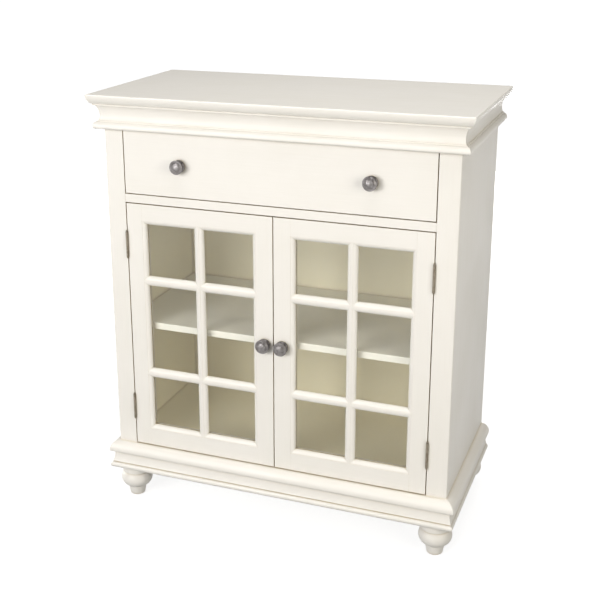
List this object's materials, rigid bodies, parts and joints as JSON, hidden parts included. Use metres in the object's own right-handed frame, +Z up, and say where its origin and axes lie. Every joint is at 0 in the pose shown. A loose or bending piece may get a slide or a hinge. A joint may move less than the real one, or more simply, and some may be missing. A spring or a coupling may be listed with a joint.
{
  "type": "glazed cabinet",
  "caption": "Free-standing painted cabinet on turned feet: a wide drawer over a pair of glazed doors with barred panes, a shelf inside, moulded cornice and base.",
  "frame": {"origin": "on the floor under the centre of the cabinet's bounding box", "axes": "+X to the right seen from the front, +Y from the front to the back, +Z up"},
  "size_m": [0.792, 0.394, 0.916],
  "materials": {
    "cream_paint": "satin off-white paint over wood",
    "bare_wood": "clear-sealed hardwood",
    "glass": "clear float glass",
    "pewter": "antique pewter, lightly hammered",
    "steel": "zinc plated",
    "catch_plastic": "moulded"
  },
  "bodies": {
    "root": {"top_panel": "cream_paint", "cornice_front": "cream_paint", "cornice_left": "cream_paint", "cornice_right": "cream_paint", "post_left": "cream_paint", "post_right": "cream_paint", "top_rail": "cream_paint", "drawer_deck": "cream_paint", "bottom_rail": "cream_paint", "side_left": "cream_paint", "side_right": "cream_paint", "back_panel": "cream_paint", "bottom_board": "cream_paint", "base_front": "cream_paint", "base_left": "cream_paint", "base_right": "cream_paint", "base_back": "cream_paint", "shelf": "cream_paint", "shelf_pins": "steel", "drawer_guides": "bare_wood", "foot_front_left": "cream_paint", "foot_front_right": "cream_paint", "foot_back_left": "cream_paint", "foot_back_right": "cream_paint", "foot_bolts": "steel", "post_hinge_leaves": "pewter", "hinge_pins": "pewter", "post_hinge_screws": "pewter", "door_catches": "catch_plastic"},
    "drawer": {"drawer_front": "cream_paint", "drawer_side_left": "bare_wood", "drawer_side_right": "bare_wood", "drawer_back": "bare_wood", "drawer_bottom": "bare_wood", "drawer_knobs": "pewter", "drawer_knob_screws": "steel"},
    "door_left": {"door_left_hinge_stile": "cream_paint", "door_left_meeting_stile": "cream_paint", "door_left_top_rail": "cream_paint", "door_left_bottom_rail": "cream_paint", "door_left_upright_bar": "cream_paint", "door_left_cross_bars": "cream_paint", "door_left_glass": "glass", "door_left_glass_beads": "cream_paint", "door_left_hinge_leaves": "pewter", "door_left_knob": "pewter", "door_left_screws": "steel", "door_left_strike": "steel"},
    "door_right": {"door_right_hinge_stile": "cream_paint", "door_right_meeting_stile": "cream_paint", "door_right_top_rail": "cream_paint", "door_right_bottom_rail": "cream_paint", "door_right_upright_bar": "cream_paint", "door_right_cross_bars": "cream_paint", "door_right_glass": "glass", "door_right_glass_beads": "cream_paint", "door_right_hinge_leaves": "pewter", "door_right_knob": "pewter", "door_right_screws": "steel", "door_right_strike": "steel"}
  },
  "joints": [
    {"name": "drawer_slide", "type": "slide", "parent": "root", "child": "drawer", "axis": [0, -1, 0], "range_m": [0, 0.25]},
    {"name": "door_left_hinge", "type": "hinge", "parent": "root", "child": "door_left", "pos_m": [-0.327, -0.1736, 0.4155], "axis": [0, 0, -1], "range_deg": [0, 170]},
    {"name": "door_right_hinge", "type": "hinge", "parent": "root", "child": "door_right", "pos_m": [0.327, -0.1736, 0.4155], "axis": [0, 0, 1], "range_deg": [0, 170]}
  ]
}
